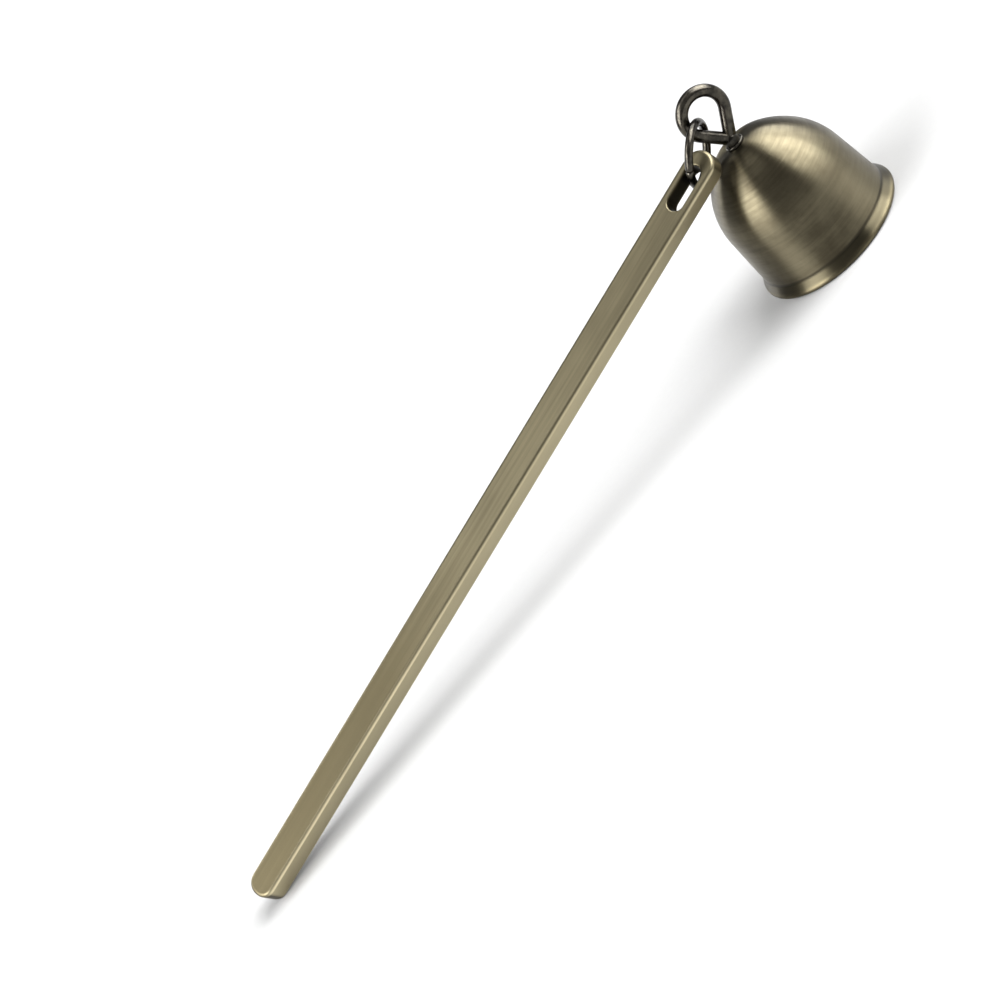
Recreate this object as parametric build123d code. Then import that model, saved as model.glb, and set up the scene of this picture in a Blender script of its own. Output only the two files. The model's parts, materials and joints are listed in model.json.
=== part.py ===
"""Candle snuffer: a bell with a wire eye, linked by a jump ring to a slotted bar handle.

Millimetres, +Z up. The origin is the middle of the bell's mouth. The snuffer is as it is set down
on a table: the bell stands on its lip, and the bar slopes down towards -X, from the ring at the
bell's top to its far end on the table.
"""

import os
from math import asin, atan2, cos, degrees, hypot, radians, sin, sqrt

from build123d import *

# Bell: one spun shell, outer sizes
NECK_DIAMETER = 27.7
BELL_HEIGHT = 25.1
BELL_WALL = 1.1
CROWN_SEAT_DIAMETER = 5.2
# Turning points of the bell's side, as shares of the neck's radius and of the bell's height
SHOULDER_SHARES = (0.953, 0.492)
HAUNCH_SHARES = (0.774, 0.775)
CROWN_EDGE_SHARES = (0.455, 0.954)

# Flared lip round the bell's mouth
LIP_HEIGHT = 3.5
LIP_FLARE = 1.15
LIP_LAND = 1.5
LIP_ROUND = 0.6
LIP_FLARE_ANGLE = 44.0

# Wire eye on the crown, with its threaded shank
EYE_WIRE = 2.3
EYE_LOOP_RADIUS = 4.0
EYE_LOOP_RISE = 7.0
EYE_FOOT_RISE = 0.8
EYE_NECK_DIAMETER = 2.8
SHANK_DIAMETER = 2.0
SHANK_TAIL = 0.8
SHANK_CHAMFER = 0.3
SHANK_CLEARANCE = 0.1
THREAD_CLEARANCE = 0.03

# Collar on the crown, washer and nut under it
COLLAR_DIAMETER = 3.8
COLLAR_HEIGHT = 0.6
COLLAR_ROUND = 0.3
SEAT_MARGIN = 0.1
WASHER_THICKNESS = 0.4
NUT_ACROSS_FLATS = 4.0
NUT_THICKNESS = 1.6
NUT_CHAMFER = 0.25

# Jump ring of round wire, squeezed shut
RING_WIRE = 1.5
RING_INNER_DIAMETER = 9.4
RING_SEAM = 0.12
RING_SEAM_ANGLE = 150.0
RING_ON_EYE_CLEARANCE = 0.25

# Bar handle, pressed a little flatter and wider towards its slotted end
HANDLE_LENGTH = 152.4
NEAR_THICKNESS = 3.8
FAR_WIDTH = 5.6
FAR_THICKNESS = 4.75
FAR_CORNER = 2.6
EDGE_ROUND = 0.7
SLOT_LENGTH = 8.8
SLOT_SIDE_PLAY = 0.95
SLOT_CHEEK = 1.4
SLOT_ROUND = 0.25
END_BRIDGE = 3.0
RING_PLAY = 2.0

# How the link lies at rest, in degrees
RING_YAW = 30.0
RING_PITCH = 20.0
RING_ROLL = 35.0
HANDLE_TWIST = 31.5
RING_SEAT_SHARE = 0.92
TABLE_CLEARANCE = 0.1

CUT_OVERRUN = 1.0

# Bell, worked out
neck_radius = NECK_DIAMETER / 2
mouth_radius = neck_radius + LIP_FLARE
crown_seat_radius = CROWN_SEAT_DIAMETER / 2
crown_inside = BELL_HEIGHT - BELL_WALL
shank_hole_radius = SHANK_DIAMETER / 2 + SHANK_CLEARANCE

# Stack on the crown, worked out
collar_radius = min(COLLAR_DIAMETER / 2, crown_seat_radius)
washer_radius = crown_seat_radius - SEAT_MARGIN
collar_top = BELL_HEIGHT + COLLAR_HEIGHT
washer_bottom = crown_inside - WASHER_THICKNESS
nut_bottom = washer_bottom - NUT_THICKNESS
shank_bottom = nut_bottom - SHANK_TAIL

# Eye, worked out: a circle with two straight legs that meet at its foot
eye_foot = Vector(0, 0, collar_top + EYE_FOOT_RISE)
leg_angle = asin(EYE_LOOP_RADIUS / EYE_LOOP_RISE)
leg_length = sqrt(EYE_LOOP_RISE**2 - EYE_LOOP_RADIUS**2)
ring_leg = Vector(-sin(leg_angle), 0, cos(leg_angle))

# Ring, worked out: it hangs on the eye's leg on the handle's side
ring_radius = (RING_INNER_DIAMETER + RING_WIRE) / 2
yaw = radians(RING_YAW)
pitch = radians(RING_PITCH)
roll = radians(RING_ROLL)
ring_reach = Vector(cos(pitch) * cos(yaw), cos(pitch) * sin(yaw), sin(pitch))
ring_side = Vector(-sin(yaw), cos(yaw), 0)
ring_rise = ring_reach.cross(ring_side) * cos(roll) - ring_side * sin(roll)
ring_axis = ring_reach.cross(ring_rise)
ring_seat = eye_foot + ring_leg * (leg_length * RING_SEAT_SHARE)
seat_side = (ring_reach - ring_leg * ring_reach.dot(ring_leg)).normalized()
seat_offset = (EYE_WIRE + RING_WIRE) / 2 + RING_ON_EYE_CLEARANCE
ring_center = ring_seat + seat_side * seat_offset - ring_reach * ring_radius
slot_crossing = ring_center - ring_reach * ring_radius

# Handle, worked out: the ring holds it by the slot, and its far end's lowest edge is on the table
slot_width = RING_WIRE + 2 * SLOT_SIDE_PLAY
near_width = slot_width + 2 * SLOT_CHEEK
far_corner = min(FAR_CORNER, FAR_WIDTH / 2)
through_length = max(NEAR_THICKNESS, FAR_THICKNESS)
head_length = END_BRIDGE + SLOT_LENGTH + END_BRIDGE
crossing_to_end = END_BRIDGE + RING_PLAY + RING_WIRE / 2
twist = radians(HANDLE_TWIST)
far_flat_side = FAR_WIDTH / 2 - EDGE_ROUND
far_flat_rise = FAR_THICKNESS / 2 - EDGE_ROUND
far_drop = EDGE_ROUND + far_flat_side * sin(twist) + far_flat_rise * cos(twist)
far_reach = HANDLE_LENGTH - crossing_to_end - far_corner
crossing_height = slot_crossing.Z - TABLE_CLEARANCE
slope = asin(crossing_height / hypot(far_reach, far_drop)) - atan2(far_drop, far_reach)
handle_line = Vector(cos(slope), 0, sin(slope))
handle_top = Vector(-sin(slope), 0, cos(slope)) * cos(twist) - Vector(0, 1, 0) * sin(twist)
handle_end = slot_crossing + handle_line * crossing_to_end
handle_place = Plane(origin=handle_end, x_dir=handle_line, z_dir=handle_top)


def end_tangent(tangent, start, end):
    """Direction in which an arc that leaves start along tangent comes to end."""
    chord = (end - start).normalized()
    return chord * (2 * tangent.dot(chord)) - tangent


def bell_side(inset, crown_level):
    """The bell's side from neck to crown, drawn as (radius, height), inset from its outer face."""
    neck = Vector(neck_radius, LIP_HEIGHT)
    shoulder, haunch, crown_edge = (
        Vector(neck_radius * radius_share, BELL_HEIGHT * height_share)
        for radius_share, height_share in (SHOULDER_SHARES, HAUNCH_SHARES, CROWN_EDGE_SHARES)
    )
    body_way = (shoulder - neck).normalized()
    haunch_way = end_tangent(body_way, shoulder, haunch)
    crown_way = end_tangent(haunch_way, haunch, crown_edge)

    def moved_in(point, way):
        return point + Vector(-way.Y, way.X) * inset

    neck = moved_in(neck, body_way)
    shoulder = moved_in(shoulder, body_way)
    haunch = moved_in(haunch, haunch_way)
    crown_edge = moved_in(crown_edge, crown_way)
    crown_seat = Vector(crown_seat_radius, crown_level)
    lines = [
        Line(neck, shoulder),
        TangentArc(shoulder, haunch, tangent=body_way),
        TangentArc(haunch, crown_edge, tangent=haunch_way),
        TangentArc(crown_edge, crown_seat, tangent=crown_way),
        Line(crown_seat, (shank_hole_radius, crown_level)),
    ]
    return lines, neck, body_way


def bell_shell():
    """Spun shell: flat land under a rounded, flared lip, tapering body, domed top, holed crown."""
    outside, outer_neck, _ = bell_side(0, BELL_HEIGHT)
    inside, inner_neck, body_way = bell_side(BELL_WALL, crown_inside)
    flare = radians(LIP_FLARE_ANGLE)
    lip_round = CenterArc((mouth_radius - LIP_ROUND, LIP_ROUND), LIP_ROUND, -90, 90 + LIP_FLARE_ANGLE)
    mouth_edge = Vector(mouth_radius - LIP_LAND, 0)
    outline = Curve() + [
        *outside,
        Line((shank_hole_radius, BELL_HEIGHT), (shank_hole_radius, crown_inside)),
        *inside,
        TangentArc(inner_neck, mouth_edge, tangent=-body_way),
        Line(mouth_edge, lip_round @ 0),
        lip_round,
        TangentArc(lip_round @ 1, outer_neck, tangent=Vector(-sin(flare), cos(flare))),
    ]
    return revolve(Plane.XZ * make_face(outline), axis=Axis.Z)


def crown_collar():
    """Low ring between the crown and the eye's foot, its upper edge rounded."""
    ring = Cylinder(collar_radius, COLLAR_HEIGHT, align=(Align.CENTER, Align.CENTER, Align.MIN))
    ring = fillet(ring.edges().sort_by(Axis.Z)[-1], COLLAR_ROUND)
    bore = Cylinder(shank_hole_radius, COLLAR_HEIGHT + 2 * CUT_OVERRUN)
    return Pos(0, 0, BELL_HEIGHT) * (ring - Pos(0, 0, COLLAR_HEIGHT / 2) * bore)


def wire_eye():
    """Teardrop of round wire on a stout neck, with a shank down through the crown."""
    loop_middle = eye_foot + Vector(0, 0, EYE_LOOP_RISE)
    leg_end = eye_foot + Vector(sin(leg_angle), 0, cos(leg_angle)) * leg_length
    half_bend = (radians(90) - leg_angle) / 2
    bend_middle = loop_middle + Vector(cos(half_bend), 0, sin(half_bend)) * EYE_LOOP_RADIUS
    bend = ThreePointArc(leg_end, bend_middle, loop_middle + Vector(0, 0, EYE_LOOP_RADIUS))
    path = Line(eye_foot, leg_end) + bend
    section = Plane(origin=eye_foot, z_dir=leg_end - eye_foot) * Circle(EYE_WIRE / 2)
    half_loop = sweep(section, path=path)

    stem_radius = EYE_NECK_DIAMETER / 2
    shank_radius = SHANK_DIAMETER / 2
    tail_radius = shank_radius - SHANK_CHAMFER
    stem = Polyline(
        (0, eye_foot.Z + stem_radius),
        (0, shank_bottom),
        (tail_radius, shank_bottom),
        (shank_radius, shank_bottom + SHANK_CHAMFER),
        (shank_radius, collar_top),
        (stem_radius, collar_top),
        (stem_radius, eye_foot.Z),
    )
    neck_top = CenterArc((0, eye_foot.Z), stem_radius, 0, 90)
    neck = revolve(Plane.XZ * make_face(stem + neck_top), axis=Axis.Z)
    return neck + half_loop + mirror(half_loop, about=Plane.YZ)


def inner_washer():
    """Flat washer against the crown's underside."""
    disc = Circle(washer_radius) - Circle(shank_hole_radius)
    return Pos(0, 0, washer_bottom) * extrude(disc, WASHER_THICKNESS)


def hex_nut():
    """Hexagon nut on the shank, its corners chamfered on the lower side."""
    blank = extrude(RegularPolygon(NUT_ACROSS_FLATS / 2, 6, major_radius=False), NUT_THICKNESS)
    corner_radius = NUT_ACROSS_FLATS / sqrt(3)
    turned = Cylinder(corner_radius, NUT_THICKNESS, align=(Align.CENTER, Align.CENTER, Align.MIN))
    turned = chamfer(turned.edges().sort_by(Axis.Z)[0], NUT_CHAMFER)
    bore = Cylinder(SHANK_DIAMETER / 2 + THREAD_CLEARANCE, 2 * NUT_THICKNESS + 2 * CUT_OVERRUN)
    return Pos(0, 0, nut_bottom) * ((blank & turned) - bore)


def jump_ring():
    """Ring of round wire with a hairline seam where its ends meet."""
    seam = degrees(RING_SEAM / ring_radius)
    section = Plane.XZ * Pos(ring_radius, 0) * Circle(RING_WIRE / 2)
    ring = Rot(0, 0, RING_SEAM_ANGLE) * revolve(section, axis=Axis.Z, revolution_arc=360 - seam)
    return Plane(origin=ring_center, x_dir=ring_reach, z_dir=ring_axis) * ring


def whole_bar():
    """Tapered flat bar from its slotted tip, which is half round, to the soft corners of its far end."""
    near_round = Pos(-near_width / 2, 0) * Circle(near_width / 2)
    corner_side = FAR_WIDTH / 2 - far_corner
    far_corners = [
        Pos(far_corner - HANDLE_LENGTH, side * corner_side) * Circle(far_corner) for side in (-1, 1)
    ]
    rounds = near_round.edges() + far_corners[0].edges() + far_corners[1].edges()
    plan = extrude(make_hull(rounds), through_length, both=True)
    side_view = make_face(
        Polyline(
            (0, NEAR_THICKNESS / 2),
            (-HANDLE_LENGTH, FAR_THICKNESS / 2),
            (-HANDLE_LENGTH, -FAR_THICKNESS / 2),
            (0, -NEAR_THICKNESS / 2),
            close=True,
        )
    )
    side = extrude(Plane.XZ * side_view, max(near_width, FAR_WIDTH), both=True)
    bar = plan & side

    slot_middle = Pos(-END_BRIDGE - SLOT_LENGTH / 2, 0, 0)
    slot = extrude(SlotOverall(SLOT_LENGTH, slot_width), through_length, both=True)
    bar = bar - slot_middle * slot
    wide_faces = bar.faces().sort_by(Axis.Z)
    slot_edges = wide_faces[0].inner_wires().edges() + wide_faces[-1].inner_wires().edges()
    bar = fillet(slot_edges, SLOT_ROUND)
    wide_faces = bar.faces().sort_by(Axis.Z)
    outer_edges = wide_faces[0].outer_wire().edges() + wide_faces[-1].outer_wire().edges()
    return fillet(outer_edges, EDGE_ROUND)


def bar_stretch(side):
    """The bar on one side of a square cut behind its slot, in its place."""
    cut = Plane.YZ.offset(-head_length)
    return handle_place * split(whole_bar(), bisect_by=cut, keep=side)


def handle_head():
    """Slotted end of the bar: two cheeks and a half round bridge about the slot."""
    return bar_stretch(Keep.TOP)


def handle_bar():
    """Plain stretch of the bar, from behind the slot to its far end."""
    return bar_stretch(Keep.BOTTOM)


PIECES = {
    "bell_shell": bell_shell,
    "crown_collar": crown_collar,
    "wire_eye": wire_eye,
    "inner_washer": inner_washer,
    "hex_nut": hex_nut,
    "jump_ring": jump_ring,
    "handle_head": handle_head,
    "handle_bar": handle_bar,
}

os.makedirs("parts", exist_ok=True)
for name, make in PIECES.items():
    export_step(make(), f"parts/{name}.step")

print("ring hinge", ring_seat, ring_leg)
print("handle hinge", ring_center, ring_axis)
print("handle slope", round(degrees(slope), 2), "end", handle_end)
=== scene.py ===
"""Candle snuffer: a brushed brass bell, a dark wire eye and ring, and a slotted bar handle.

The file is laid out as an add-on. Each piece has an operator, and the sizes and colours that a user
would change are in property groups. Lengths are metres in the frame's own axes: +Z up, the origin
in the middle of the bell's mouth, and the bar towards -X.
"""

import json
from math import acos, atan2, cos, pi, radians, sin, sqrt

import bmesh
import bpy
import numpy as np
from bpy.props import FloatProperty, FloatVectorProperty, PointerProperty
from bpy.types import Operator, Panel, PropertyGroup
from mathutils import Matrix, Vector


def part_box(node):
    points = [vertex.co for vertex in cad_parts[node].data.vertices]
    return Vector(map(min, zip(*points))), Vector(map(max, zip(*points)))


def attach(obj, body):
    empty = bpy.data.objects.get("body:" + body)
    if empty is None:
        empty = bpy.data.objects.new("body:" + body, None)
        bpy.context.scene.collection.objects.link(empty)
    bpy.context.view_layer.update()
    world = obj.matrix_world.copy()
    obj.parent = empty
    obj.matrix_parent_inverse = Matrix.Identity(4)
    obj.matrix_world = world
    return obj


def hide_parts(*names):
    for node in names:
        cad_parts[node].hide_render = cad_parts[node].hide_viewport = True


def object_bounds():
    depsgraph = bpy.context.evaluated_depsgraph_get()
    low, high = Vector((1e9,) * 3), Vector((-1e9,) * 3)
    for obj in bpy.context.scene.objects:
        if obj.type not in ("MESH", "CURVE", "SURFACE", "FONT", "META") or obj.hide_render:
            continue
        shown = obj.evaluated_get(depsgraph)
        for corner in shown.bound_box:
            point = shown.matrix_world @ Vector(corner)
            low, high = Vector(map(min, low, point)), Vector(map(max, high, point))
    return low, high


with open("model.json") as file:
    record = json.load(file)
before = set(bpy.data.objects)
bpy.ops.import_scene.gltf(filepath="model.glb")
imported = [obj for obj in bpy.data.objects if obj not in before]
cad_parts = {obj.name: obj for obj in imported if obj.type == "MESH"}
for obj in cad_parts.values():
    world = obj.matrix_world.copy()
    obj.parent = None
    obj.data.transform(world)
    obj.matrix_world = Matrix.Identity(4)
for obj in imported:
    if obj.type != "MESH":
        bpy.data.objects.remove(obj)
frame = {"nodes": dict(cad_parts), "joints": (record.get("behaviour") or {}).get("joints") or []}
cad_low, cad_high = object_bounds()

bl_info = {
    "name": "Candle Snuffer",
    "version": (1, 0, 0),
    "blender": (4, 5, 0),
    "location": "3D View > Sidebar > Snuffer",
    "description": "Dresses a candle snuffer's bell, link and bar over their frame",
    "category": "Object",
}

MM = 0.001

# Points closer than this are made one, and faces that meet at more than this angle have a sharp edge
WELD_DISTANCE = 0.0002 * MM
SHARP_ANGLE = radians(38)

# Turning points of the bell's side, as shares of the neck's radius and of the bell's height
SHOULDER_SHARES = (0.953, 0.492)
HAUNCH_SHARES = (0.774, 0.775)
CROWN_EDGE_SHARES = (0.455, 0.954)

# Share of the eye's leg, from its foot, where the wire starts inside the neck
LEG_START = 0.03

# Steps of the grids of the turned pieces and of the wire
TURN_STEPS = 288
COLLAR_STEPS = 144
STEM_STEPS = 80
THREAD_STEPS = 12
WIRE_STEPS = 40
LOOP_STEPS = 120
RING_STEPS = 192
BEND_STEPS = 24
EDGE_STEPS = 8

# Steps of the bar's grids, and the spacing from its edge to its middle, closer near the edge
NOSE_STEPS = 28
CHEEK_STEPS = 16
SHANK_STEPS = 120
SLOT_FACE_STEPS = 6
CROSS_STEPS = 10
CROSS_SHARES = np.sin(np.linspace(pi / 2, 0, CROSS_STEPS + 1))

# Waves of the finishes' noise to the metre, across the brushing and along it
BELL_LINES, BELL_BANDS, BELL_CLOUDS = 7000.0, 1300.0, 130.0
BAR_LINES, BAR_BANDS, BAR_CLOUDS = 8500.0, 1500.0, 140.0
BAR_LINES_ALONG, BAR_BANDS_ALONG, BAR_CLOUDS_ALONG = 70.0, 28.0, 45.0
WIRE_CLOUDS, WIRE_PITS = 420.0, 2600.0
ZINC_RINGS, ZINC_CLOUDS = 6000.0, 500.0
FLOOR_TOOTH = 900.0

# Waves of the bell's brushing along a radius of the circle that it follows
BELL_LINES_ROUND, BELL_BANDS_ROUND = 3.0, 1.6

# Depths of the finishes' reliefs
BELL_LINE_DEPTH = 0.004 * MM
BAR_LINE_DEPTH = 0.008 * MM
WIRE_PIT_DEPTH = 0.008 * MM
ZINC_RING_DEPTH = 0.006 * MM

# The bell's finish: half the height over which the dull lip fades, how far above the crease its painted
# shade lies, half the height of that shade's core and of all of it, the width of the painted shade round
# the collar, and how far inside the mouth's edge the wear starts and is whole
LIP_FADE = 0.1 * MM
CREASE_SHADE_RISE = 0.15 * MM
CREASE_SHADE_CORE, CREASE_SHADE_REACH = 0.05 * MM, 0.5 * MM
COLLAR_SHADE_REACH = 1.1 * MM
WEAR_REACH, WEAR_CORE = 0.45 * MM, 0.02 * MM

# How far from the bar's outline the painted highlight on the narrow sides is whole, and where it ends
SIDE_HIGHLIGHT_CORE, SIDE_HIGHLIGHT_REACH = 0.05 * MM, 0.35 * MM

# Shade of the floor's tooth, as a share of the floor's colour
TOOTH_SHADE = 0.97

# Nearest distance that the camera sees, as a share of the distance to the bell
CLIP_SHARE = 0.01

# Soft lamps of the studio: azimuth and elevation of the lamp, its spread, all in degrees, and its
# brightness; azimuth 0 is the camera's side and 90 is +X
LAMPS = {
    "left_lamp": (-75.0, 29.0, 44.0, 9.5),
    "left_high_lamp": (-104.0, 53.0, 26.0, 9.5),
    "left_back_lamp": (-152.0, 10.0, 30.0, 2.5),
    "right_lamp": (68.0, 34.0, 50.0, 9.0),
    "right_back_lamp": (112.0, 38.0, 52.0, 8.0),
    "top_lamp": (-105.0, 84.0, 34.0, 1.2),
}


def joint(name):
    """A joint of the frame, by name."""
    return next(j for j in frame["joints"] if j["name"] == name)


def length(label, words, millimetres):
    """A length that a user may change, given in millimetres."""
    return FloatProperty(
        name=label, description=words, default=millimetres * MM, unit="LENGTH", precision=5
    )


def angle(label, words, turn):
    """An angle that a user may change, given in degrees."""
    return FloatProperty(name=label, description=words, default=radians(turn), subtype="ANGLE")


def colour(label, words, value):
    """A colour that a user may change, as linear red, green and blue."""
    return FloatVectorProperty(
        name=label, description=words, default=value, subtype="COLOR", size=3, min=0, max=1
    )


class SnufferBell(PropertyGroup):
    """Sizes and colours of the bell."""

    neck_radius: length("Neck radius", "Outer radius of the bell's body above the lip", 13.85)
    wall: length("Wall", "Thickness of the spun shell", 1.1)
    seat_radius: length("Seat radius", "Radius of the flat on the crown", 2.6)
    hole_radius: length("Hole radius", "Radius of the hole in the crown", 1.1)
    neck_height: length("Neck height", "Height of the neck above the lip's land", 3.5)
    lip_land: length("Lip land", "Width of the lip from its mouth to its outer edge", 1.5)
    lip_round: length("Lip round", "Radius of the lip's outer edge", 0.6)
    crease_height: length("Crease height", "Height of the bend between the lip and the body", 2.5)
    crease_reach: length("Crease reach", "How far that bend reaches along the lip and the body", 0.2)
    bright: colour("Rubbed brass", "Colour where the finish is rubbed bright", (0.132, 0.116, 0.076))
    dark: colour("Tarnished brass", "Colour where the finish has stayed dark", (0.075, 0.064, 0.041))
    worn: colour("Worn brass", "Colour of worn edges", (0.300, 0.255, 0.150))
    # The inner colour is soot on the inside and lip, and painted shade round the collar's foot
    soot_and_shade: colour("Inner brass", "Colour of the dull inside and lip", (0.060, 0.0525, 0.0335))
    # The crease colour is painted shade just above the lip's crease
    grime: colour("Crease brass", "Colour of the dirt in the lip's crease", (0.026, 0.023, 0.016))


class SnufferLink(PropertyGroup):
    """Sizes and colours of the collar, the eye, the ring and what holds them."""

    collar_round: length("Collar round", "Radius of the collar's upper edge", 0.3)
    eye_wire: length("Eye wire", "Diameter of the eye's wire", 2.3)
    eye_radius: length("Eye radius", "Radius of the loop at the middle of its wire", 4.0)
    eye_rise: length("Eye rise", "Height of the loop's middle above the eye's foot", 7.0)
    foot_rise: length("Foot rise", "Height of the eye's foot above the collar", 0.8)
    neck_diameter: length("Eye neck", "Diameter of the eye's neck", 2.8)
    shank_diameter: length("Shank", "Diameter of the eye's threaded shank", 2.0)
    thread_pitch: length("Thread pitch", "Pitch of the thread on the shank", 0.4)
    thread_depth: length("Thread depth", "Depth of the thread on the shank", 0.12)
    shank_chamfer: length("Shank chamfer", "Chamfer at the shank's end", 0.3)
    ring_wire: length("Ring wire", "Diameter of the ring's wire", 1.5)
    ring_inner: length("Ring inside", "Inner diameter of the ring", 9.4)
    ring_seam: length("Ring seam", "Gap between the ring's ends", 0.12)
    ring_seam_angle: angle("Seam angle", "Place of the seam, from where the ring holds the eye", 150.0)
    end_round: length("Wire end round", "Rounding of the ring's cut ends", 0.12)
    bright: colour("Rubbed bronze", "Colour of the wire where it is rubbed", (0.088, 0.080, 0.064))
    dark: colour("Dark bronze", "Colour of the wire's dark plate", (0.030, 0.028, 0.024))
    steel: colour("Zinc", "Colour of the nut and the washer", (0.420, 0.415, 0.400))


class SnufferBar(PropertyGroup):
    """Sizes, place and colours of the bar handle."""

    length: length("Length", "Length of the bar", 152.4)
    near_width: length("Near width", "Width at the slotted end", 6.2)
    near_thickness: length("Near thickness", "Thickness at the slotted end", 3.8)
    far_width: length("Far width", "Width at the far end", 5.6)
    far_thickness: length("Far thickness", "Thickness at the far end", 4.75)
    far_corner: length("Far corner", "Radius of the far end's corners", 2.6)
    edge_round: length("Edge round", "Radius of the long edges", 0.7)
    slot_length: length("Slot length", "Length of the slot from end to end", 8.8)
    slot_width: length("Slot width", "Width of the slot", 3.4)
    slot_round: length("Slot round", "Radius of the slot's edges", 0.25)
    bridge: length("Bridge", "Metal between the slot and the bar's end", 3.0)
    seam: length("Grid seam", "Distance from the near end to the plain stretch of the bar", 15.0)
    end_x: length("End X", "Near end, along X", -4.677287)
    end_y: length("End Y", "Near end, along Y", -4.09354)
    end_z: length("End Z", "Near end, along Z", 29.182606)
    slope: angle("Slope", "How far the bar slopes down to its far end", 9.958557)
    twist: angle("Twist", "How far the bar's wide face leans to the camera's side", 31.5)
    bright: colour("Rubbed brass", "Colour where the brushing is bright", (0.180, 0.158, 0.100))
    dark: colour("Tarnished brass", "Colour where the finish has stayed dark", (0.110, 0.096, 0.061))
    # The side colour is a painted highlight that makes the narrow sides lighter
    side: colour("Side brass", "Colour of the narrow sides, which the fingers rub", (0.440, 0.388, 0.250))
    worn: colour("Worn brass", "Colour of worn edges", (0.700, 0.615, 0.400))
    grime: colour("Grip brass", "Colour of the wide faces where they are handled", (0.070, 0.058, 0.032))
    # The slot colour is painted shade on the slot's wall
    slot_shade: colour("Slot brass", "Colour of the slot's dark wall", (0.016, 0.014, 0.010))
    grip: length("Grip", "Length at the far end that is handled most", 62.0)


class SnufferStage(PropertyGroup):
    """The camera, the light's level and the floor."""

    azimuth: angle("Azimuth", "Camera's turn about the bell's axis", 2.25)
    elevation: angle("Elevation", "Camera's height above the floor, as an angle", 25.0)
    roll: angle("Roll", "Turn of the picture", 50.696)
    distance: length("Distance", "Depth of the bell's mouth in front of the camera", 496.68)
    focal_pixels: FloatProperty(
        name="Focal length", description="Focal length in pixels of the picture", default=2800.0
    )
    picture_side: FloatProperty(
        name="Picture side", description="Side of the square picture in pixels", default=1000.0
    )
    mouth_x: FloatProperty(
        name="Mouth X", description="Pixel column of the mouth's middle", default=829.99
    )
    mouth_y: FloatProperty(
        name="Mouth Y", description="Pixel row of the mouth's middle", default=232.72
    )
    surround: colour("Surroundings", "Colour and level of the room round the lamps", (0.22, 0.22, 0.22))
    floor: colour("Floor", "Colour of the floor", (0.37, 0.37, 0.37))
    floor_side: FloatProperty(
        name="Floor side", description="Side of the floor", default=8.0, unit="LENGTH"
    )


def unit(vector):
    """The vector at length 1."""
    return vector / np.linalg.norm(vector)


def arc(start, way, end, steps):
    """Arc that leaves start along way and comes to end, as steps points after start.

    With the chord c, the unit way t and its left normal n, the radius is c.c / (2 c.n). The point at
    turn f is start + radius (sin f t + (1 - cos f) n), for f up to twice the angle from t to c.
    """
    chord = end - start
    left = np.array([-way[1], way[0]])
    radius = chord @ chord / (2 * chord @ left)
    turn = np.linspace(0, 2 * atan2(chord @ left, chord @ way), steps + 1)[1:, None]
    return start + radius * (np.sin(turn) * way + (1 - np.cos(turn)) * left)


def way_at_end(start, way, end):
    """Direction of that arc at its end: the way in, mirrored about the chord."""
    chord = unit(end - start)
    return 2 * (way @ chord) * chord - way


def run(start, end, steps):
    """Straight run from start to end, as steps points after start."""
    return start + (end - start) * np.linspace(0, 1, steps + 1)[1:, None]


def turned(profile, steps):
    """Surface of revolution: each (radius r, height z) at turn f goes to (r cos f, r sin f, z)."""
    turn = np.linspace(0, 2 * pi, steps, endpoint=False)
    radius, height = profile[:, 0], profile[:, 1]
    x = radius[:, None] * np.cos(turn)
    y = radius[:, None] * np.sin(turn)
    return np.stack([x, y, np.broadcast_to(height[:, None], x.shape)], -1)


def tube(path, ways, binormal, radii, steps):
    """Round wire along a flat path: path + radius (cos f n + sin f b), with n = b x way."""
    turn = np.linspace(0, 2 * pi, steps, endpoint=False)[None, :, None]
    normal = np.cross(binormal, ways)[:, None, :]
    return path[:, None, :] + radii[:, None, None] * (np.cos(turn) * normal + np.sin(turn) * binormal)


def grid_quads(rows, columns, close_rows, close_columns):
    """Corner numbers of the quads of a grid of points, closed round either way if asked."""
    i, j = np.meshgrid(
        np.arange(rows if close_rows else rows - 1),
        np.arange(columns if close_columns else columns - 1),
        indexing="ij",
    )
    below, beside = (i + 1) % rows, (j + 1) % columns
    corners = (i * columns + j, i * columns + beside, below * columns + beside, below * columns + j)
    return np.stack(corners, -1).reshape(-1, 4)


class Skin:
    """Grids of points that are welded to one closed mesh, with a mark at each point for a finish."""

    def __init__(self):
        self.points, self.quads, self.marks = [], [], []
        self.count = 0

    def add(self, points, close_rows=False, close_columns=False, mark=0.0):
        """Adds a grid of points, of shape rows x columns x 3, with one mark or one for each row."""
        rows, columns = points.shape[:2]
        self.points.append(points.reshape(-1, 3))
        self.quads.append(grid_quads(rows, columns, close_rows, close_columns) + self.count)
        marks = np.broadcast_to(np.asarray(mark, float).reshape(-1, 1), (rows, columns))
        self.marks.append(marks.reshape(-1))
        self.count += rows * columns

    def piece(self, name, mark_name=None):
        """The welded, closed mesh as an object, with its marks where they have a name."""
        mesh = bpy.data.meshes.new(name)
        mesh.from_pydata(np.concatenate(self.points), [], np.concatenate(self.quads))
        if mark_name:
            marks = mesh.attributes.new(mark_name, "FLOAT", "POINT")
            marks.data.foreach_set("value", np.concatenate(self.marks).astype(np.float32))
        weld(mesh)
        return show(name, mesh)


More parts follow.
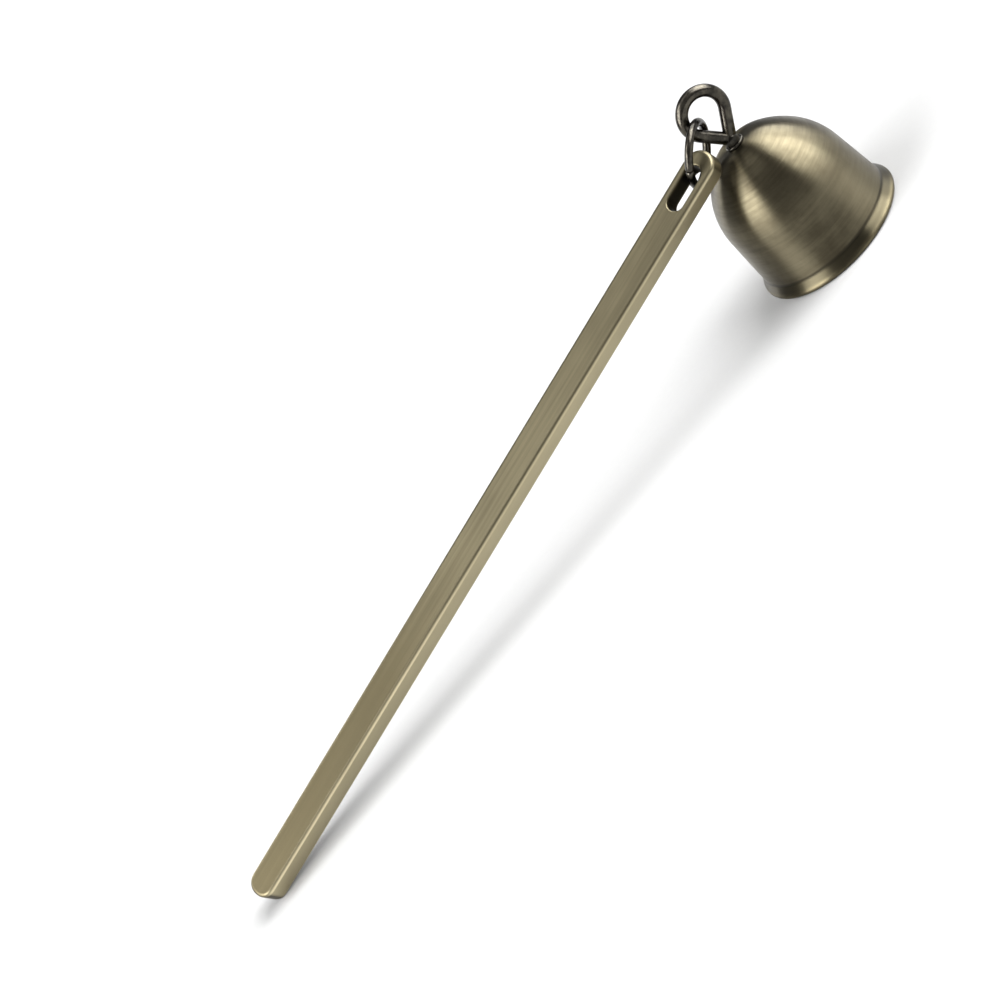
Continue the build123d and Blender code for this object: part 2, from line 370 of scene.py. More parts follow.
def weld(mesh):
    """Merges the points that grids share, closes poles, turns faces outwards and marks sharp edges."""
    bm = bmesh.new()
    bm.from_mesh(mesh)
    bmesh.ops.remove_doubles(bm, verts=bm.verts, dist=WELD_DISTANCE)
    bmesh.ops.dissolve_degenerate(bm, edges=bm.edges, dist=WELD_DISTANCE)
    bmesh.ops.recalc_face_normals(bm, faces=bm.faces)
    open_edges = sum(not edge.is_manifold for edge in bm.edges)
    bm.to_mesh(mesh)
    bm.free()
    if open_edges:
        raise RuntimeError(f"{mesh.name} has {open_edges} open edges")
    mesh.shade_smooth()
    mesh.set_sharp_from_angle(angle=SHARP_ANGLE)


def show(name, mesh):
    """A new object of the mesh, in the scene."""
    piece = bpy.data.objects.new(name, mesh)
    bpy.context.scene.collection.objects.link(piece)
    return piece


def dress(piece, material, body, slot, *nodes):
    """Gives a piece its material, and lets it ride on its body in place of CAD nodes; the slot is not
    used.
    """
    piece.data.materials.clear()
    piece.data.materials.append(material)
    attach(piece, body)
    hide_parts(*nodes)


class Socket:
    """A shader's output that can stand in a sum: each operator adds a Math node."""

    def __init__(self, finish, output):
        self.finish = finish
        self.output = output

    def twin(self, name):
        """Another output of the same node."""
        return Socket(self.finish, self.output.node.outputs[name])

    def math(self, operation, first, second):
        """A Math node of two values or sockets."""
        return self.finish.node("ShaderNodeMath", {"operation": operation}, {0: first, 1: second})

    def __add__(self, other):
        return self.math("ADD", self, other)

    def __sub__(self, other):
        return self.math("SUBTRACT", self, other)

    def __rsub__(self, other):
        return self.math("SUBTRACT", other, self)

    def __mul__(self, other):
        return self.math("MULTIPLY", self, other)

    def __truediv__(self, other):
        return self.math("DIVIDE", self, other)

    def __pow__(self, other):
        return self.math("POWER", self, other)

    def __abs__(self):
        return self.finish.node("ShaderNodeMath", {"operation": "ABSOLUTE"}, {0: self})

    __radd__ = __add__
    __rmul__ = __mul__


class Finish:
    """A material in the making: one Principled shader and the nodes that feed it."""

    def __init__(self, name):
        self.material = bpy.data.materials.new(name)
        self.material.use_nodes = True
        self.tree = self.material.node_tree
        self.tree.nodes.clear()
        shader = self.node("ShaderNodeBsdfPrincipled")
        self.shader = shader.output.node
        self.node("ShaderNodeOutputMaterial", inputs={"Surface": shader}, output=None)

    def node(self, kind, settings=None, inputs=None, output=0):
        """Adds a node: its settings first, then the values or links of its sockets."""
        node = self.tree.nodes.new(kind)
        for name, value in (settings or {}).items():
            setattr(node, name, value)
        self.feed(node, inputs or {})
        return None if output is None else Socket(self, node.outputs[output])

    def feed(self, node, inputs):
        """Sets or links sockets of a node."""
        for name, value in inputs.items():
            if isinstance(value, Socket):
                self.tree.links.new(value.output, node.inputs[name])
            else:
                node.inputs[name].default_value = value

    def surface(self, **inputs):
        """Sets or links sockets of the Principled shader, named with _ for a space."""
        self.feed(self.shader, {name.replace("_", " "): value for name, value in inputs.items()})
        return self.material

    def place(self):
        """Object coordinates."""
        return self.node("ShaderNodeTexCoord", output="Object")

    def split(self, vector):
        """The three numbers of a vector."""
        x = self.node("ShaderNodeSeparateXYZ", inputs={0: vector})
        return x, x.twin("Y"), x.twin("Z")

    def join(self, x, y, z):
        """A vector of three numbers."""
        return self.node("ShaderNodeCombineXYZ", inputs={0: x, 1: y, 2: z})

    def noise(self, vector, scale=1.0, detail=2.0, roughness=0.5):
        """Noise about 0.5."""
        inputs = {"Vector": vector, "Scale": scale, "Detail": detail, "Roughness": roughness}
        return self.node("ShaderNodeTexNoise", inputs=inputs)

    def mark(self, name):
        """A mark that the mesh carries at its points."""
        return self.node("ShaderNodeAttribute", {"attribute_name": name}, output="Fac")

    def step(self, value, low, high, start=0.0, end=1.0):
        """Smooth step from start to end as value goes from low to high."""
        inputs = {"Value": value, 1: low, 2: high, 3: start, 4: end}
        return self.node("ShaderNodeMapRange", {"interpolation_type": "SMOOTHSTEP"}, inputs)

    def mix(self, factor, first, second):
        """A colour from first to second."""
        first, second = (c if isinstance(c, Socket) else (*c, 1.0) for c in (first, second))
        settings = {"data_type": "RGBA", "clamp_factor": True}
        return self.node("ShaderNodeMix", settings, {0: factor, 6: first, 7: second}, output=2)

    def bump(self, height, depth, strength=1.0):
        """Normal of a surface raised by height times depth."""
        return self.node(
            "ShaderNodeBump", inputs={"Height": height, "Distance": depth, "Strength": strength}
        )


def bell_finish(bell):
    """Brass brushed round the bell: rings of fine lines and clouds of tarnish.

    The lip is dull, with painted shade in its crease and a worn edge. So is the inside, which the mesh
    marks with 1. Shade is painted round the collar's foot. The limits of a step on noise are levels
    of it, which lie about 0.5.
    """
    f = Finish("bell_brass")
    place = f.place()
    x, y, z = f.split(place)
    radius = (x * x + y * y) ** 0.5
    climb = z - radius
    around_x, around_y = x / radius, y / radius
    line_place = f.join(around_x * BELL_LINES_ROUND, around_y * BELL_LINES_ROUND, climb * BELL_LINES)
    band_place = f.join(around_x * BELL_BANDS_ROUND, around_y * BELL_BANDS_ROUND, climb * BELL_BANDS)
    lines = f.noise(line_place, detail=3.0, roughness=0.6)
    bands = f.noise(band_place, detail=2.0)
    clouds = f.noise(place, scale=BELL_CLOUDS, detail=4.0, roughness=0.6)
    inside = f.mark("inside")

    rubbed = f.step(clouds * 0.7 + bands * 0.3, 0.32, 0.68)
    brass = f.mix(rubbed, tuple(bell.dark), tuple(bell.bright))
    brass = f.mix(f.step(lines, 0.35, 0.75) * 0.25, brass, tuple(bell.dark))
    patchy = 0.6 + 0.8 * clouds
    lip = f.step(z, bell.crease_height - LIP_FADE, bell.crease_height + LIP_FADE, 0.85, 0.0)
    # Painted shade round the collar's foot, in the inner brass colour
    foot = f.step(radius, bell.seat_radius, bell.seat_radius + COLLAR_SHADE_REACH, 0.75, 0.0)
    brass = f.mix((lip + foot) * patchy, brass, tuple(bell.soot_and_shade))
    # Painted shade in a narrow band just above the lip's crease
    crease_shade = f.step(abs(z - (bell.crease_height + CREASE_SHADE_RISE)), CREASE_SHADE_CORE, CREASE_SHADE_REACH, 0.75, 0.0)
    brass = f.mix(crease_shade * patchy, brass, tuple(bell.grime))
    edge = f.step(radius, cad_high.x - WEAR_REACH, cad_high.x - WEAR_CORE)
    worn = edge * f.step(clouds + 0.35 * lines, 0.45, 0.8)
    brass = f.mix(worn * 0.3, brass, tuple(bell.worn))
    brass = f.mix(inside * (0.65 + 0.5 * clouds), brass, tuple(bell.soot_and_shade))

    return f.surface(
        Base_Color=brass,
        Metallic=1.0,
        Roughness=0.27 + 0.10 * lines + 0.08 * (1 - rubbed) + 0.16 * inside,
        Anisotropic=0.9,
        Anisotropic_Rotation=0.25,
        Normal=f.bump(lines + 0.5 * bands, BELL_LINE_DEPTH, 0.4),
    )


def bronze_finish(link):
    """Dark plated wire: a half polish with small pits and rubs."""
    f = Finish("dark_bronze")
    place = f.place()
    clouds = f.noise(place, scale=WIRE_CLOUDS, detail=4.0, roughness=0.6)
    pits = f.noise(place, scale=WIRE_PITS, detail=3.0, roughness=0.55)
    rubbed = f.step(clouds + 0.25 * pits, 0.50, 0.82)
    bronze = f.mix(rubbed, tuple(link.dark), tuple(link.bright))
    return f.surface(
        Base_Color=bronze,
        Metallic=1.0,
        Roughness=0.16 + 0.12 * clouds + 0.05 * pits,
        Normal=f.bump(pits + 1.5 * clouds, WIRE_PIT_DEPTH, 0.5),
    )


def bar_finish(bar, origin, axes):
    """Brass brushed along the bar: long fine lines, soft tarnish, a painted highlight on the narrow sides
    and a handled grip.

    A Mapping node turns the pattern to the bar's own axes. The mesh marks the rounded edges, which
    are worn along the grip, with up to 1, and the slot's wall, where shade is painted, with down to -1.
    """
    f = Finish("bar_brass")
    turn = Matrix(axes.tolist())
    inputs = {
        "Vector": f.place(),
        "Location": -(turn @ Vector(origin)),
        "Rotation": turn.to_euler("XYZ"),
    }
    place = f.node("ShaderNodeMapping", {"vector_type": "POINT"}, inputs)
    along, across, rise = f.split(place)
    line_place = f.join(along * BAR_LINES_ALONG, across * BAR_LINES, rise * BAR_LINES)
    band_place = f.join(along * BAR_BANDS_ALONG, across * BAR_BANDS, rise * BAR_BANDS)
    cloud_place = f.join(along * BAR_CLOUDS_ALONG, across * BAR_CLOUDS, rise * BAR_CLOUDS)
    lines = f.noise(line_place, detail=3.0, roughness=0.6)
    bands = f.noise(band_place, detail=2.0)
    clouds = f.noise(cloud_place, detail=3.0, roughness=0.55)
    edge = f.mark("edge")

    rubbed = f.step(clouds * 0.55 + bands * 0.45, 0.30, 0.70)
    brass = f.mix(rubbed, tuple(bar.dark), tuple(bar.bright))
    brass = f.mix(f.step(lines, 0.35, 0.75) * 0.30, brass, tuple(bar.dark))
    gripped = f.step(along, 0.6 * bar.grip - bar.length, 1.3 * bar.grip - bar.length, 1.0, 0.15)
    brass = f.mix(gripped * (0.55 + 0.5 * clouds), brass, tuple(bar.grime))
    half_width = bar.near_width / 2 + along * ((bar.near_width - bar.far_width) / 2 / bar.length)
    # Painted highlight: the narrow sides are made lighter with the side colour
    side = f.step(half_width - abs(across), SIDE_HIGHLIGHT_CORE, SIDE_HIGHLIGHT_REACH, 1.0, 0.0)
    brass = f.mix(side * (0.75 + 0.4 * clouds), brass, tuple(bar.side))
    tip = f.step(along + bar.length, 0.2 * bar.far_corner, bar.far_corner, 0.15, 1.0)
    worn = edge * gripped * tip * f.step(clouds + 0.3 * bands, 0.35, 0.75, 0.4, 1.0)
    brass = f.mix(worn, brass, tuple(bar.worn))
    # Painted shade on the slot's wall, where the mark falls below 0
    brass = f.mix(f.step(edge, -0.8, 0.0, 0.9, 0.0), brass, tuple(bar.slot_shade))

    return f.surface(
        Base_Color=brass,
        Metallic=1.0,
        Roughness=0.30 + 0.12 * lines + 0.06 * (1 - rubbed) - 0.06 * worn,
        Normal=f.bump(lines + 0.8 * bands, BAR_LINE_DEPTH, 0.7),
    )


def steel_finish(link):
    """Zinc-plated steel with turning lines."""
    f = Finish("zinc_steel")
    place = f.place()
    x, y, z = f.split(place)
    radius = (x * x + y * y) ** 0.5
    rings = f.noise(f.join(radius * ZINC_RINGS, z * ZINC_RINGS, 0.0), detail=2.0)
    clouds = f.noise(place, scale=ZINC_CLOUDS, detail=3.0)
    zinc = f.mix(f.step(clouds, 0.35, 0.7), tuple(link.steel), tuple(link.bright))
    return f.surface(
        Base_Color=zinc,
        Metallic=1.0,
        Roughness=0.30 + 0.15 * clouds,
        Normal=f.bump(rings, ZINC_RING_DEPTH, 0.5),
    )


def floor_finish(stage):
    """Plain matt floor with a faint tooth."""
    f = Finish("pale_floor")
    tooth = f.noise(f.place(), scale=FLOOR_TOOTH, detail=2.0)
    shade = f.mix(tooth, tuple(stage.floor), tuple(TOOTH_SHADE * part for part in stage.floor))
    return f.surface(Base_Color=shade, Roughness=0.9, Specular_IOR_Level=0.0)


def bell_side(bell, height, inset, crown):
    """The bell's side from its neck to the hole in its crown, as (radius, height).

    A straight body, then three arcs, each leaving the last one along its end, then the flat crown.
    The turning points are moved in by inset, square to the side, for the inner face.
    """
    neck = np.array([bell.neck_radius, bell.neck_height])
    shoulder, haunch, crown_edge = (
        np.array([bell.neck_radius, height]) * shares
        for shares in (SHOULDER_SHARES, HAUNCH_SHARES, CROWN_EDGE_SHARES)
    )
    body_way = unit(shoulder - neck)
    haunch_way = way_at_end(shoulder, body_way, haunch)
    crown_way = way_at_end(haunch, haunch_way, crown_edge)
    neck, shoulder, haunch, crown_edge = (
        point + np.array([-way[1], way[0]]) * inset
        for point, way in (
            (neck, body_way), (shoulder, body_way), (haunch, haunch_way), (crown_edge, crown_way),
        )
    )
    seat = np.array([bell.seat_radius, crown])
    hole = np.array([bell.hole_radius, crown])
    points = [
        neck[None],
        run(neck, shoulder, BEND_STEPS),
        arc(shoulder, body_way, haunch, BEND_STEPS),
        arc(haunch, haunch_way, crown_edge, BEND_STEPS),
        arc(crown_edge, crown_way, seat, BEND_STEPS // 2),
        run(seat, hole, EDGE_STEPS),
    ]
    return np.concatenate(points), body_way


def bell_outline(bell, mouth_radius, height):
    """Closed outline of the shell, as (radius, height), and where it is inside.

    It goes up the outer side, through the crown's hole, down the inner side, out along the lip's
    flat land, round the lip's edge, straight up the flare and round a tight crease to the neck.
    The flare touches the lip's edge: from the crease at distance d and angle g from the middle of
    that edge of radius r, it touches at the angle g - acos(r / d).
    """
    outer, _ = bell_side(bell, height, 0.0, height)
    inner, body_way = bell_side(bell, height, bell.wall, height - bell.wall)
    neck = outer[0]
    crease = neck - body_way * (neck[1] - bell.crease_height) / body_way[1]
    mouth_edge = np.array([mouth_radius - bell.lip_land, 0.0])
    edge_middle = np.array([mouth_radius - bell.lip_round, bell.lip_round])
    reach = crease - edge_middle
    slope = atan2(reach[1], reach[0]) - acos(bell.lip_round / np.linalg.norm(reach))
    turn = np.linspace(-pi / 2, slope, BEND_STEPS)
    edge = edge_middle + bell.lip_round * np.stack([np.cos(turn), np.sin(turn)], -1)
    flare_way = unit(crease - edge[-1])
    bend_start = crease - bell.crease_reach * flare_way
    bend_end = crease + bell.crease_reach * body_way
    parts = [
        (outer, 0.0),
        (inner[::-1], 1.0),
        (arc(inner[0], -body_way, mouth_edge, BEND_STEPS), 1.0),
        (run(mouth_edge, edge[0], EDGE_STEPS)[:-1], 0.0),
        (edge, 0.0),
        (run(edge[-1], bend_start, EDGE_STEPS), 0.0),
        (arc(bend_start, flare_way, bend_end, EDGE_STEPS), 0.0),
        (run(bend_end, neck, EDGE_STEPS)[:-1], 0.0),
    ]
    inside = np.concatenate([np.full(len(points), mark) for points, mark in parts])
    return np.concatenate([points for points, _ in parts]), inside


def collar_outline(link, low, high, hole_radius):
    """Closed outline of the collar, as (radius, height), its upper edge rounded."""
    radius, bottom, top = high.x, low.z, high.z
    turn = np.linspace(0, pi / 2, EDGE_STEPS + 1)
    middle = np.array([radius, top]) - link.collar_round
    edge = middle + link.collar_round * np.stack([np.cos(turn), np.sin(turn)], -1)
    foot = np.array([radius, bottom])
    inner_top, inner_foot = np.array([hole_radius, top]), np.array([hole_radius, bottom])
    parts = (
        inner_foot[None],
        run(inner_foot, foot, EDGE_STEPS),
        run(foot, edge[0], EDGE_STEPS // 2)[:-1],
        edge,
        run(edge[-1], inner_top, EDGE_STEPS),
    )
    return np.concatenate(parts)


def eye_loop(link, foot):
    """Teardrop in the XZ plane: up one leg, over the circle that both legs touch, down the other.

    With the circle's radius r and its middle at rise h above the foot, each leg leans by asin(r / h)
    and is sqrt(h h - r r) long. Gives the points and their directions.
    """
    lean = np.arcsin(link.eye_radius / link.eye_rise)
    leg = sqrt(link.eye_rise**2 - link.eye_radius**2)
    turn = np.linspace(-lean, pi + lean, LOOP_STEPS)
    bend = np.stack([np.cos(turn), np.zeros_like(turn), np.sin(turn)], -1)
    bend_ways = np.stack([-np.sin(turn), np.zeros_like(turn), np.cos(turn)], -1)
    up_leg = np.linspace(LEG_START, 1, BEND_STEPS)[:-1, None] * leg * bend_ways[0]
    down_leg = np.linspace(-1, -LEG_START, BEND_STEPS)[1:, None] * leg * bend_ways[-1]
    points = np.concatenate([up_leg, bend * link.eye_radius + [0, 0, link.eye_rise], down_leg])
    ways = np.concatenate(
        [np.tile(bend_ways[0], (len(up_leg), 1)), bend_ways, np.tile(bend_ways[-1], (len(down_leg), 1))]
    )
    return points + foot, ways


def capped(rows):
    """Rows of a tube with a closing point at each end, as rows that shrink to their middles."""
    first, last = (np.broadcast_to(row.mean(0), row.shape)[None] for row in (rows[0], rows[-1]))
    return np.concatenate([first, rows, last])


def stem_surface(link, foot, collar_top, bottom):
    """The eye's neck and threaded shank, turned about Z.

    The thread is a cosine groove: at height z and turn f the radius is less by
    depth (1 - cos(2 pi z / pitch - f)) / 2, so one turn moves it by one pitch.
    """
    neck, shank = link.neck_diameter / 2, link.shank_diameter / 2
    turn = np.linspace(pi / 2, 0, BEND_STEPS)
    dome = np.stack([neck * np.cos(turn), foot + neck * np.sin(turn)], -1)
    thread_steps = round((collar_top - bottom) / link.thread_pitch * THREAD_STEPS)
    heights = np.linspace(collar_top, bottom + link.shank_chamfer, thread_steps)
    plain = np.stack([np.full(thread_steps, shank), heights], -1)
    tip = np.array([[shank - link.shank_chamfer, bottom], [0.0, bottom]])
    profile = np.concatenate([dome, [[neck, collar_top]], plain, tip])
    surface = turned(profile, STEM_STEPS)
    turn = np.linspace(0, 2 * pi, STEM_STEPS, endpoint=False)
    groove = (1 - np.cos(2 * pi * profile[:, 1:] / link.thread_pitch - turn)) / 2
    cut = np.zeros(len(profile))
    cut[len(dome) + 2 : -2] = link.thread_depth
    share = 1 - cut[:, None] * groove / np.maximum(profile[:, :1], shank / 2)
    surface[..., :2] *= share[..., None]
    return surface


def union(name, pieces):
    """One closed mesh of closed pieces that overlap; the pieces themselves are used up."""
    first, *others = pieces
    for other in others:
        joined = first.modifiers.new("join", "BOOLEAN")
        joined.operation = "UNION"
        joined.solver = "EXACT"
        joined.use_self = True
        joined.object = other
    scene_now = bpy.context.evaluated_depsgraph_get()
    mesh = bpy.data.meshes.new_from_object(first.evaluated_get(scene_now))
    mesh.name = name
    for piece in pieces:
        bpy.data.objects.remove(piece)
    weld(mesh)
    return show(name, mesh)


def ring_surface(link, middle, axis, eye_point):
    """Ring of round wire: the wire's circle carried along an arc that stops short at the seam.

    The wire is rounded at its cut ends, where its radius shrinks along a quarter circle.
    """
    wire = link.ring_wire / 2
    radius = link.ring_inner / 2 + wire
    reach = eye_point - middle
    reach = unit(reach - axis * (reach @ axis))
    rise = np.cross(axis, reach)
    gap = link.ring_seam / radius / 2
    turn = link.ring_seam_angle + np.linspace(gap, 2 * pi - gap, RING_STEPS)
    end_turn = link.end_round / radius
    from_end = np.minimum(turn - turn[0], turn[-1] - turn) / end_turn
    slack = 1 - np.clip(from_end, 0, 1)
    radii = wire - link.end_round * (1 - np.sqrt(1 - slack**2))
    out = np.cos(turn)[:, None] * reach + np.sin(turn)[:, None] * rise
    ways = np.cos(turn)[:, None] * rise - np.sin(turn)[:, None] * reach
    return capped(tube(middle + radius * out, ways, axis, radii, WIRE_STEPS))


def mirrored_loop(half):
    """Closed loop of a half outline, from axis to axis, and its mirror image across the bar."""
    return np.concatenate([half, half[-2:0:-1] * [1, -1]])


def bar_half(bar, inset):
    """Half of the bar's outline, as (along, across), moved in by inset.

    Half of the round nose, the straight side, a round corner, and half of the far end.
    """
    nose, far = bar.near_width / 2, bar.far_width / 2
    side_start, side_end = -nose, bar.far_corner - bar.length
    turn = np.linspace(0, pi / 2, NOSE_STEPS + 1)
    nose_arc = [-nose, 0] + (nose - inset) * np.stack([np.cos(turn), np.sin(turn)], -1)
    cheek = np.linspace(side_start, -bar.seam, CHEEK_STEPS + 1)[1:]
    shank = np.linspace(-bar.seam, side_end, SHANK_STEPS + 1)[1:]
    along = np.concatenate([cheek, shank])
    half_width = nose + (far - nose) * (along - side_start) / (side_end - side_start)
    turn = np.linspace(pi / 2, pi, EDGE_STEPS + 1)[1:]
    corner = [side_end, far - bar.far_corner] + (bar.far_corner - inset) * np.stack(
        [np.cos(turn), np.sin(turn)], -1
    )
    end = corner[-1] * np.stack([np.ones_like(CROSS_SHARES), CROSS_SHARES], -1)
    return np.concatenate([nose_arc, np.stack([along, half_width - inset], -1), corner, end[1:]])


def slot_half(bar, outset):
    """Half of the slot's outline, as (along, across), moved out by outset into the bar."""
    radius = bar.slot_width / 2
    near, far = -bar.bridge - radius, -bar.bridge - bar.slot_length + radius
    turn = np.linspace(0, pi / 2, NOSE_STEPS + 1)
    near_arc = [near, 0] + (radius + outset) * np.stack([np.cos(turn), np.sin(turn)], -1)
    along = np.linspace(near, far, CHEEK_STEPS + 1)[1:]
    side = np.stack([along, np.full_like(along, radius + outset)], -1)
    turn = pi / 2 + np.arccos(CROSS_SHARES)[1:]
    far_arc = [far, 0] + (radius + outset) * np.stack([np.cos(turn), np.sin(turn)], -1)
    return np.concatenate([near_arc, side, far_arc])


def bar_skin(bar, origin, axes):
    """The bar's closed skin: two wide faces with rounded edges, the side wall and the slot's wall.

    A point (along a, across c) of an outline lies at height t(a) - r (1 - sin f) above the bar's
    middle, where t is half the thickness and f goes from 0 on the wall to 90 degrees on the wide
    face, while the outline is moved in by r (1 - cos f). The wide face is two grids: one between
    the slot and the nose, and one along the plain stretch. Marks rise to 1 on the rounded edges and
    fall to -1 in the middle of the slot's wall.
    """
    skin = Skin()

    def level(along):
        near, far = bar.near_thickness / 2, bar.far_thickness / 2
        return near + (near - far) * along / bar.length

    def placed(flat, drop, side):
        height = side * (level(flat[..., 0]) - drop)
        return origin + np.concatenate([flat, height[..., None]], -1) @ axes

    def rounded(half_outline, radius, side):
        turns = np.linspace(0, pi / 2, EDGE_STEPS + 1)
        rows = [
            placed(mirrored_loop(half_outline(bar, radius * (1 - cos(f)))), radius * (1 - sin(f)), side)
            for f in turns
        ]
        return np.stack(rows)

    face_half = bar_half(bar, bar.edge_round)
    seam_row = NOSE_STEPS + CHEEK_STEPS
    end_row = seam_row + SHANK_STEPS + EDGE_STEPS
    across = np.concatenate([CROSS_SHARES, -CROSS_SHARES[-2::-1]])
    plain = face_half[seam_row : end_row + 1, None] * np.stack([np.ones_like(across), across], -1)
    cross_line = face_half[seam_row] * np.stack([np.ones_like(CROSS_SHARES), CROSS_SHARES], -1)
    round_slot = mirrored_loop(np.concatenate([face_half[: seam_row + 1], cross_line[1:]]))
    slot_edge = mirrored_loop(slot_half(bar, bar.slot_round))
    shares = np.linspace(0, 1, SLOT_FACE_STEPS + 1)[:, None, None]
    near_face = slot_edge + (round_slot - slot_edge) * shares
    edge_marks = np.sin(pi * np.linspace(0, 1, EDGE_STEPS + 1) ** 0.5)
    # Marks for the painted shade on the slot's wall
    slot_shade_marks = -np.sin(np.linspace(0, pi, EDGE_STEPS + 1)) ** 0.5
    edges = {}
    for side in (1, -1):
        edges[side] = rounded(bar_half, bar.edge_round, side), rounded(slot_half, bar.slot_round, side)
        for rows in edges[side]:
            skin.add(rows, close_columns=True, mark=edge_marks)
        skin.add(placed(plain, 0.0, side))
        skin.add(placed(near_face, 0.0, side), close_columns=True)
    for top, bottom, mark in zip(edges[1], edges[-1], (0.0, slot_shade_marks)):
        shares = np.linspace(0, 1, EDGE_STEPS + 1)[:, None, None]
        skin.add(top[0] + (bottom[0] - top[0]) * shares, close_columns=True, mark=mark)
    return skin


class SNUFFER_OT_bell(Operator):
    """Spin the brass bell over its frame"""

    bl_idname = "snuffer.bell"
    bl_label = "Bell"
    bl_options = {"REGISTER", "UNDO"}

    def execute(self, context):
        bell = context.scene.snuffer_bell
        _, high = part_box("bell_shell")
        outline, inside = bell_outline(bell, min(high.x, high.y), high.z)
        skin = Skin()
        skin.add(turned(outline, TURN_STEPS), close_rows=True, close_columns=True, mark=inside)
        dress(skin.piece("bell", "inside"), bell_finish(bell), "bell", "bell_brass", "bell_shell")
        return {"FINISHED"}


class SNUFFER_OT_eye(Operator):
    """Bend the wire eye and seat it on its collar"""

    bl_idname = "snuffer.eye"
    bl_label = "Eye and collar"
    bl_options = {"REGISTER", "UNDO"}

    def execute(self, context):
        link, bell = context.scene.snuffer_link, context.scene.snuffer_bell
        bronze = bronze_finish(link)
        collar_low, collar_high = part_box("crown_collar")
        collar = Skin()
        outline = collar_outline(link, collar_low, collar_high, bell.hole_radius)
        collar.add(turned(outline, COLLAR_STEPS), close_rows=True, close_columns=True)
        dress(collar.piece("collar"), bronze, "bell", "eye_bronze", "crown_collar")

        eye_low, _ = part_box("wire_eye")
        foot = collar_high.z + link.foot_rise
        path, ways = eye_loop(link, np.array([0, 0, foot]))
        radii = np.full(len(path), link.eye_wire / 2)
        wire = tube(path, ways, np.array([0.0, 1.0, 0.0]), radii, WIRE_STEPS)
        loop, stem = Skin(), Skin()
        loop.add(capped(wire), close_columns=True)
        stem.add(stem_surface(link, foot, collar_high.z, eye_low.z), close_columns=True)
        eye = union("eye", [loop.piece("eye_loop"), stem.piece("eye_stem")])
        dress(eye, bronze, "bell", "eye_bronze", "wire_eye")
        return {"FINISHED"}


class SNUFFER_OT_ring(Operator):
    """Bend the ring that links the eye and the bar"""

    bl_idname = "snuffer.ring"
    bl_label = "Ring"
    bl_options = {"REGISTER", "UNDO"}

    def execute(self, context):
        link = context.scene.snuffer_link
        hinge = joint("handle_swing")
        middle, axis = np.array(hinge["pos_m"]), unit(np.array(hinge["axis"]))
        eye_point = np.array(joint("ring_swing")["pos_m"])
        skin = Skin()
        skin.add(ring_surface(link, middle, axis, eye_point), close_columns=True)
        dress(skin.piece("ring"), bronze_finish(link), "ring", "ring_bronze", "jump_ring")
        return {"FINISHED"}


class SNUFFER_OT_bar(Operator):
    """Press the slotted bar handle"""

    bl_idname = "snuffer.bar"
    bl_label = "Bar"
    bl_options = {"REGISTER", "UNDO"}

    def execute(self, context):
        bar = context.scene.snuffer_bar
        origin = np.array([bar.end_x, bar.end_y, bar.end_z])
        line = np.array([cos(bar.slope), 0.0, sin(bar.slope)])
        upright = np.array([-sin(bar.slope), 0.0, cos(bar.slope)])
        top = upright * cos(bar.twist) - np.array([0.0, sin(bar.twist), 0.0])
        axes = np.stack([line, np.cross(top, line), top])
        piece = bar_skin(bar, origin, axes).piece("bar", "edge")
        finish = bar_finish(bar, origin, axes)
        dress(piece, finish, "handle", "handle_brass", "handle_head", "handle_bar")
        return {"FINISHED"}


class SNUFFER_OT_fixings(Operator):
    """Plate the nut and the washer inside the bell"""

    bl_idname = "snuffer.fixings"
    bl_label = "Nut and washer"
    bl_options = {"REGISTER", "UNDO"}

    def execute(self, context):
        steel = steel_finish(context.scene.snuffer_link)
        for name in ("hex_nut", "inner_washer"):
            frame["nodes"][name].material_slots[0].material = steel
        return {"FINISHED"}


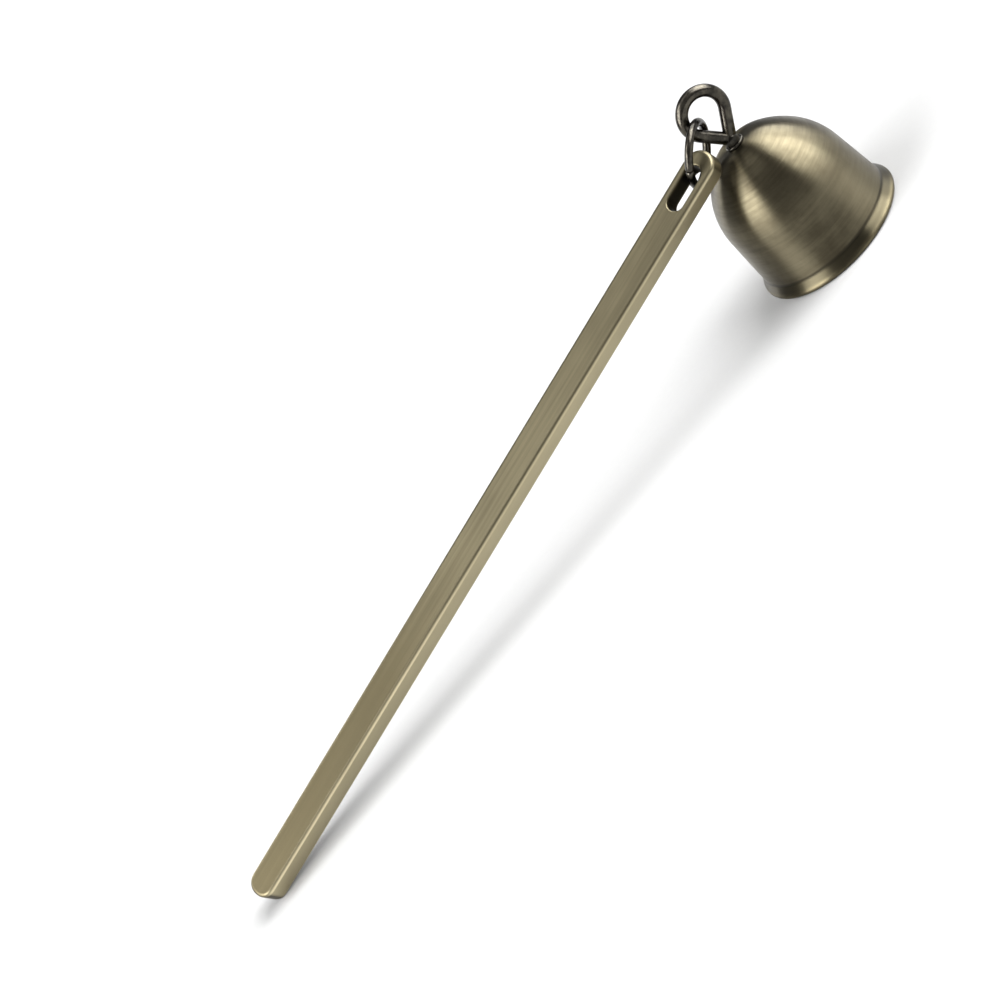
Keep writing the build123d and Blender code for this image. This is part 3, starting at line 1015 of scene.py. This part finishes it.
class SNUFFER_OT_stage(Operator):
    """Lay the floor, hang the lamps and set up the camera"""

    bl_idname = "snuffer.stage"
    bl_label = "Stage"
    bl_options = {"REGISTER", "UNDO"}

    def execute(self, context):
        stage = context.scene.snuffer_stage
        self.floor(stage)
        self.light(context.scene, stage)
        self.camera(context.scene, stage)
        return {"FINISHED"}

    def floor(self, stage):
        """A flat square under the bell's lip."""
        half = stage.floor_side / 2
        mesh = bpy.data.meshes.new("floor")
        corners = [(-half, -half, 0), (half, -half, 0), (half, half, 0), (-half, half, 0)]
        mesh.from_pydata(corners, [], [(0, 1, 2, 3)])
        mesh.materials.append(floor_finish(stage))
        show("floor", mesh)

    def light(self, scene, stage):
        """Wide soft lamps, and a dim even room.

        A lamp of brightness b and spread s gives pi b sin(s / 2) sin(s / 2) to a face turned to it.
        """
        for name, (azimuth, elevation, spread, level) in LAMPS.items():
            lamp = bpy.data.lights.new(name, "SUN")
            lamp.angle = radians(spread)
            lamp.energy = level * pi * sin(lamp.angle / 2) ** 2
            hung = bpy.data.objects.new(name, lamp)
            scene.collection.objects.link(hung)
            way = towards(radians(azimuth), radians(elevation))
            hung.rotation_mode = "QUATERNION"
            hung.rotation_quaternion = way.to_track_quat("Z", "Y")
        scene.world = bpy.data.worlds.new("room")
        scene.world.use_nodes = True
        room = scene.world.node_tree.nodes["Background"]
        room.inputs["Color"].default_value = (*stage.surround, 1.0)
        scene.view_settings.view_transform = "Standard"

    def camera(self, scene, stage):
        """A camera that puts the mouth's middle on its pixel, at the fitted angle and depth."""
        back = towards(stage.azimuth, stage.elevation)
        right = (-back).cross(Vector((0, 0, 1))).normalized()
        up = right.cross(-back)
        picture_right = cos(stage.roll) * right - sin(stage.roll) * up
        picture_up = sin(stage.roll) * right + cos(stage.roll) * up
        middle = stage.picture_side / 2
        metres = stage.distance / stage.focal_pixels
        place = back * stage.distance
        place -= (stage.mouth_x - middle) * metres * picture_right
        place += (stage.mouth_y - middle) * metres * picture_up
        data = bpy.data.cameras.new("camera")
        data.lens = data.sensor_width * stage.focal_pixels / stage.picture_side
        data.clip_start = stage.distance * CLIP_SHARE
        camera = bpy.data.objects.new("camera", data)
        scene.collection.objects.link(camera)
        axes = Matrix((picture_right, picture_up, back)).transposed()
        camera.matrix_world = Matrix.Translation(place) @ axes.to_4x4()
        scene.camera = camera


def towards(azimuth, elevation):
    """Direction at that azimuth, from the camera's side towards +X, and elevation."""
    flat = cos(elevation)
    return Vector((sin(azimuth) * flat, -cos(azimuth) * flat, sin(elevation)))


class SNUFFER_PT_panel(Panel):
    """The snuffer's pieces and their sizes and colours"""

    bl_idname = "SNUFFER_PT_panel"
    bl_label = "Candle Snuffer"
    bl_space_type = "VIEW_3D"
    bl_region_type = "UI"
    bl_category = "Snuffer"

    def draw(self, context):
        for operator in OPERATORS:
            self.layout.operator(operator.bl_idname)
        for name, group in GROUPS.items():
            box = self.layout.box()
            box.label(text=group.__doc__)
            for value in group.__annotations__:
                box.prop(getattr(context.scene, name), value)


GROUPS = {
    "snuffer_bell": SnufferBell,
    "snuffer_link": SnufferLink,
    "snuffer_bar": SnufferBar,
    "snuffer_stage": SnufferStage,
}
OPERATORS = (
    SNUFFER_OT_bell,
    SNUFFER_OT_eye,
    SNUFFER_OT_ring,
    SNUFFER_OT_bar,
    SNUFFER_OT_fixings,
    SNUFFER_OT_stage,
)


def register():
    """Adds the groups, the operators and the panel."""
    for made in (*GROUPS.values(), *OPERATORS, SNUFFER_PT_panel):
        bpy.utils.register_class(made)
    for name, group in GROUPS.items():
        setattr(bpy.types.Scene, name, PointerProperty(type=group))


def unregister():
    """Takes them away again."""
    for name in GROUPS:
        delattr(bpy.types.Scene, name)
    for made in reversed((*GROUPS.values(), *OPERATORS, SNUFFER_PT_panel)):
        bpy.utils.unregister_class(made)


def main():
    """Makes every piece and the stage."""
    register()
    bpy.ops.snuffer.bell()
    bpy.ops.snuffer.eye()
    bpy.ops.snuffer.ring()
    bpy.ops.snuffer.bar()
    bpy.ops.snuffer.fixings()
    bpy.ops.snuffer.stage()


if __name__ == "__main__":
    main()
